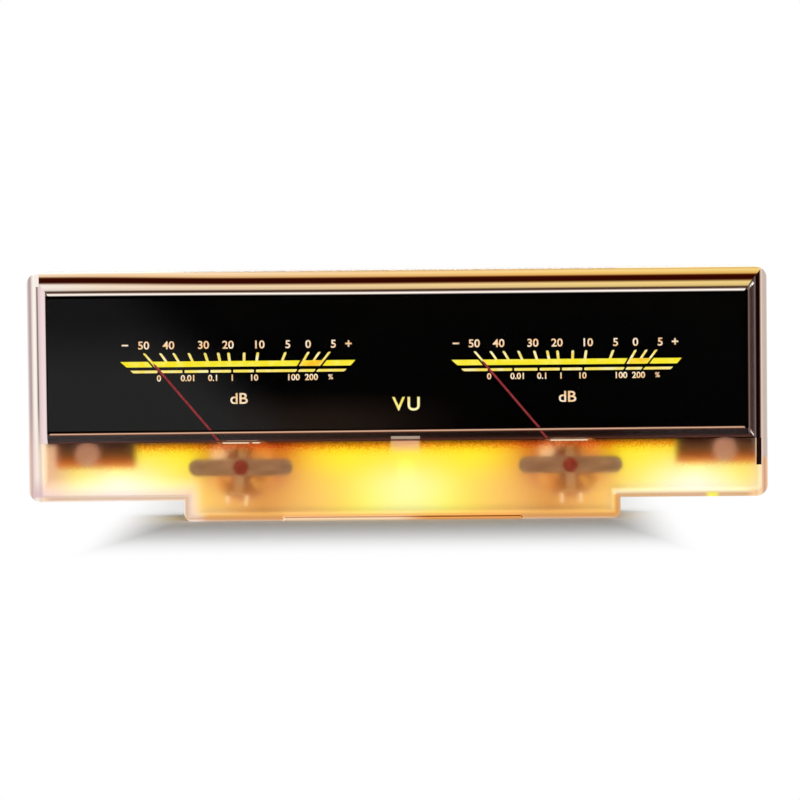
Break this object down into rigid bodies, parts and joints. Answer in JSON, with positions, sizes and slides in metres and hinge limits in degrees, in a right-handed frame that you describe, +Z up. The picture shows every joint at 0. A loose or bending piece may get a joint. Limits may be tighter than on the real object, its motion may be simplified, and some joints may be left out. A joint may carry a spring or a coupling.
{
  "type": "analog level meter",
  "caption": "Panel-mounting analog level meter: clear snap-fit cover over a back-lit black dial with arched decibel scales, moving-coil pointers, zero levers and pin terminals.",
  "frame": {"origin": "midway between the two movements, on the plane of the underside; the skirt is centred 0.9 mm and the wide body above it 1.95 mm to the left of this", "axes": "+X to the right seen from the front, +Y from the dial towards the back, +Z up"},
  "size_m": [0.1901, 0.035, 0.0642],
  "materials": {
    "clear_cover": "polished, with a frosted lower band",
    "white_case": "satin moulded",
    "black_dial": "matt print on a clear sheet",
    "diffuser": "milky",
    "clip": "satin moulded",
    "plated_screws": "zinc plated",
    "lamp_base": "satin moulded",
    "lamp_tags": "plain",
    "lamp_glass": "clear",
    "frame_plastic": "satin moulded",
    "yoke_iron": "zinc plated",
    "magnet": "ground",
    "bridge_metal": "stamped",
    "red_screw": "lacquered",
    "plain_brass": "turned",
    "copper_coil": "lacquered wire",
    "staff_steel": "polished",
    "red_pointer": "lacquered",
    "lever_steel": "plated",
    "spring_bronze": "plain"
  },
  "bodies": {
    "case": {"front_cover": "clear_cover", "rear_case": "white_case", "dial_plate": "black_dial", "light_diffuser": "diffuser", "dial_clip": "clip", "dial_screws": "plated_screws", "bridge_screws": "plated_screws", "movement_screws": "plated_screws", "left_lamp_holder": "lamp_base", "left_lamp_contacts": "lamp_tags", "left_lamp_bulb": "lamp_glass", "centre_lamp_holder": "lamp_base", "centre_lamp_contacts": "lamp_tags", "centre_lamp_bulb": "lamp_glass", "right_lamp_holder": "lamp_base", "right_lamp_contacts": "lamp_tags", "right_lamp_bulb": "lamp_glass", "left_movement_frame": "frame_plastic", "left_yoke": "yoke_iron", "left_core_magnet": "magnet", "left_yoke_retainer": "frame_plastic", "left_front_bridge": "bridge_metal", "left_front_jewel_screw": "red_screw", "left_rear_jewel_screw": "plain_brass", "left_lever_nut": "plain_brass", "left_terminals": "plain_brass", "left_rear_hairspring": "spring_bronze", "right_movement_frame": "frame_plastic", "right_yoke": "yoke_iron", "right_core_magnet": "magnet", "right_yoke_retainer": "frame_plastic", "right_front_bridge": "bridge_metal", "right_front_jewel_screw": "red_screw", "right_rear_jewel_screw": "plain_brass", "right_lever_nut": "plain_brass", "right_terminals": "plain_brass", "right_rear_hairspring": "spring_bronze"},
    "left_pointer": {"left_pointer": "red_pointer", "left_balance_weights": "plain_brass", "left_pivot_staffs": "staff_steel", "left_moving_coil": "copper_coil"},
    "left_zero_lever": {"left_zero_lever": "lever_steel", "left_front_hairspring": "spring_bronze"},
    "right_pointer": {"right_pointer": "red_pointer", "right_balance_weights": "plain_brass", "right_pivot_staffs": "staff_steel", "right_moving_coil": "copper_coil"},
    "right_zero_lever": {"right_zero_lever": "lever_steel", "right_front_hairspring": "spring_bronze"}
  },
  "joints": [
    {"name": "left_pointer_swing", "type": "hinge", "parent": "case", "child": "left_pointer", "pos_m": [-0.0425, 0, 0.0136], "axis": [0, 1, 0], "range_deg": [-4, 84], "stiffness_Nm_per_rad": 0.000005, "deforming": ["left_front_hairspring", "left_rear_hairspring"]},
    {"name": "left_zero_adjust", "type": "hinge", "parent": "case", "child": "left_zero_lever", "pos_m": [-0.0425, 0, 0.0136], "axis": [0, 1, 0], "range_deg": [-15.5, 0.5], "deforming": ["left_front_hairspring"]},
    {"name": "right_pointer_swing", "type": "hinge", "parent": "case", "child": "right_pointer", "pos_m": [0.0425, 0, 0.0136], "axis": [0, 1, 0], "range_deg": [-4, 84], "stiffness_Nm_per_rad": 0.000005, "deforming": ["right_front_hairspring", "right_rear_hairspring"]},
    {"name": "right_zero_adjust", "type": "hinge", "parent": "case", "child": "right_zero_lever", "pos_m": [0.0425, 0, 0.0136], "axis": [0, 1, 0], "range_deg": [-7, 9], "deforming": ["right_front_hairspring"]}
  ]
}
